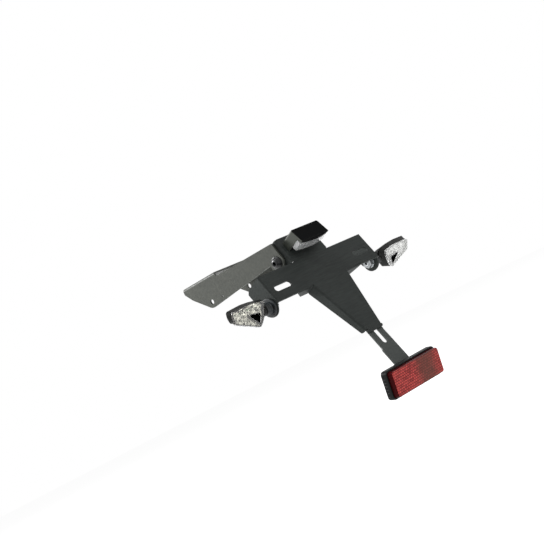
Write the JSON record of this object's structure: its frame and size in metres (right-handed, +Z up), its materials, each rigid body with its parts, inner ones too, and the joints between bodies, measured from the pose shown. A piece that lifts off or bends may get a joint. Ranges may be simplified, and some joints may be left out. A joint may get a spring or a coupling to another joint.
{
  "type": "tail_tidy",
  "caption": "Motorbike tail tidy: folded plate carrier on a tilting bracket, with plate lamp, two indicators and a sliding red reflector",
  "frame": {"origin": "centre of the four fixing holes, on the top face of the undertail bracket's web", "axes": "+X to the bike's right, along the line between the two indicators; +Y forward, along the bracket's web; +Z up, out of the web's top face"},
  "size_m": [0.3574, 0.2924, 0.2527],
  "materials": {
    "powder_coat": "satin",
    "black_steel": "satin",
    "zinc_steel": "satin",
    "black_plastic": "matte",
    "soft_rubber": "matte",
    "clear_plastic": "gloss",
    "red_plastic": "gloss",
    "plated_plastic": "gloss",
    "circuit_board": "satin",
    "led_plastic": "gloss"
  },
  "bodies": {
    "bracket": {"undertail_bracket": "powder_coat", "tilt_bolts": "black_steel", "tilt_washers": "black_plastic", "tilt_nuts": "zinc_steel"},
    "plate": {"plate_carrier": "powder_coat", "lamp_cover": "black_plastic", "lamp_lens": "clear_plastic", "lamp_board": "circuit_board", "lamp_leds": "led_plastic", "lamp_screws": "zinc_steel", "strip_studs": "zinc_steel", "strip_washers": "zinc_steel", "strip_nuts": "zinc_steel"},
    "left_indicator": {"left_housing": "black_plastic", "left_reflector": "plated_plastic", "left_board": "circuit_board", "left_lens": "clear_plastic", "left_stalk": "soft_rubber", "left_ring": "soft_rubber", "left_stud": "zinc_steel", "left_washer": "zinc_steel", "left_nut": "zinc_steel"},
    "right_indicator": {"right_housing": "black_plastic", "right_reflector": "plated_plastic", "right_board": "circuit_board", "right_lens": "clear_plastic", "right_stalk": "soft_rubber", "right_ring": "soft_rubber", "right_stud": "zinc_steel", "right_washer": "zinc_steel", "right_nut": "zinc_steel"},
    "reflector_arm": {"reflector_strip": "powder_coat", "reflector_housing": "black_plastic", "reflector_lens": "red_plastic", "reflector_stud": "zinc_steel", "reflector_washer": "zinc_steel", "reflector_nut": "zinc_steel"}
  },
  "joints": [
    {"name": "plate_tilt", "type": "hinge", "parent": "bracket", "child": "plate", "pos_m": [0, -0.154, -0.032], "axis": [1, 0, 0], "range_deg": [-10, 15]},
    {"name": "left_indicator_turn", "type": "hinge", "parent": "plate", "child": "left_indicator", "pos_m": [-0.105, -0.17345, -0.08164], "axis": [1, 0, 0], "range_deg": [-20, 25]},
    {"name": "right_indicator_turn", "type": "hinge", "parent": "plate", "child": "right_indicator", "pos_m": [0.105, -0.17345, -0.08164], "axis": [1, 0, 0], "range_deg": [-20, 25]},
    {"name": "reflector_slide", "type": "slide", "parent": "plate", "child": "reflector_arm", "axis": [0, -0.342, -0.9397], "range_m": [-0.025, 0.008]}
  ]
}
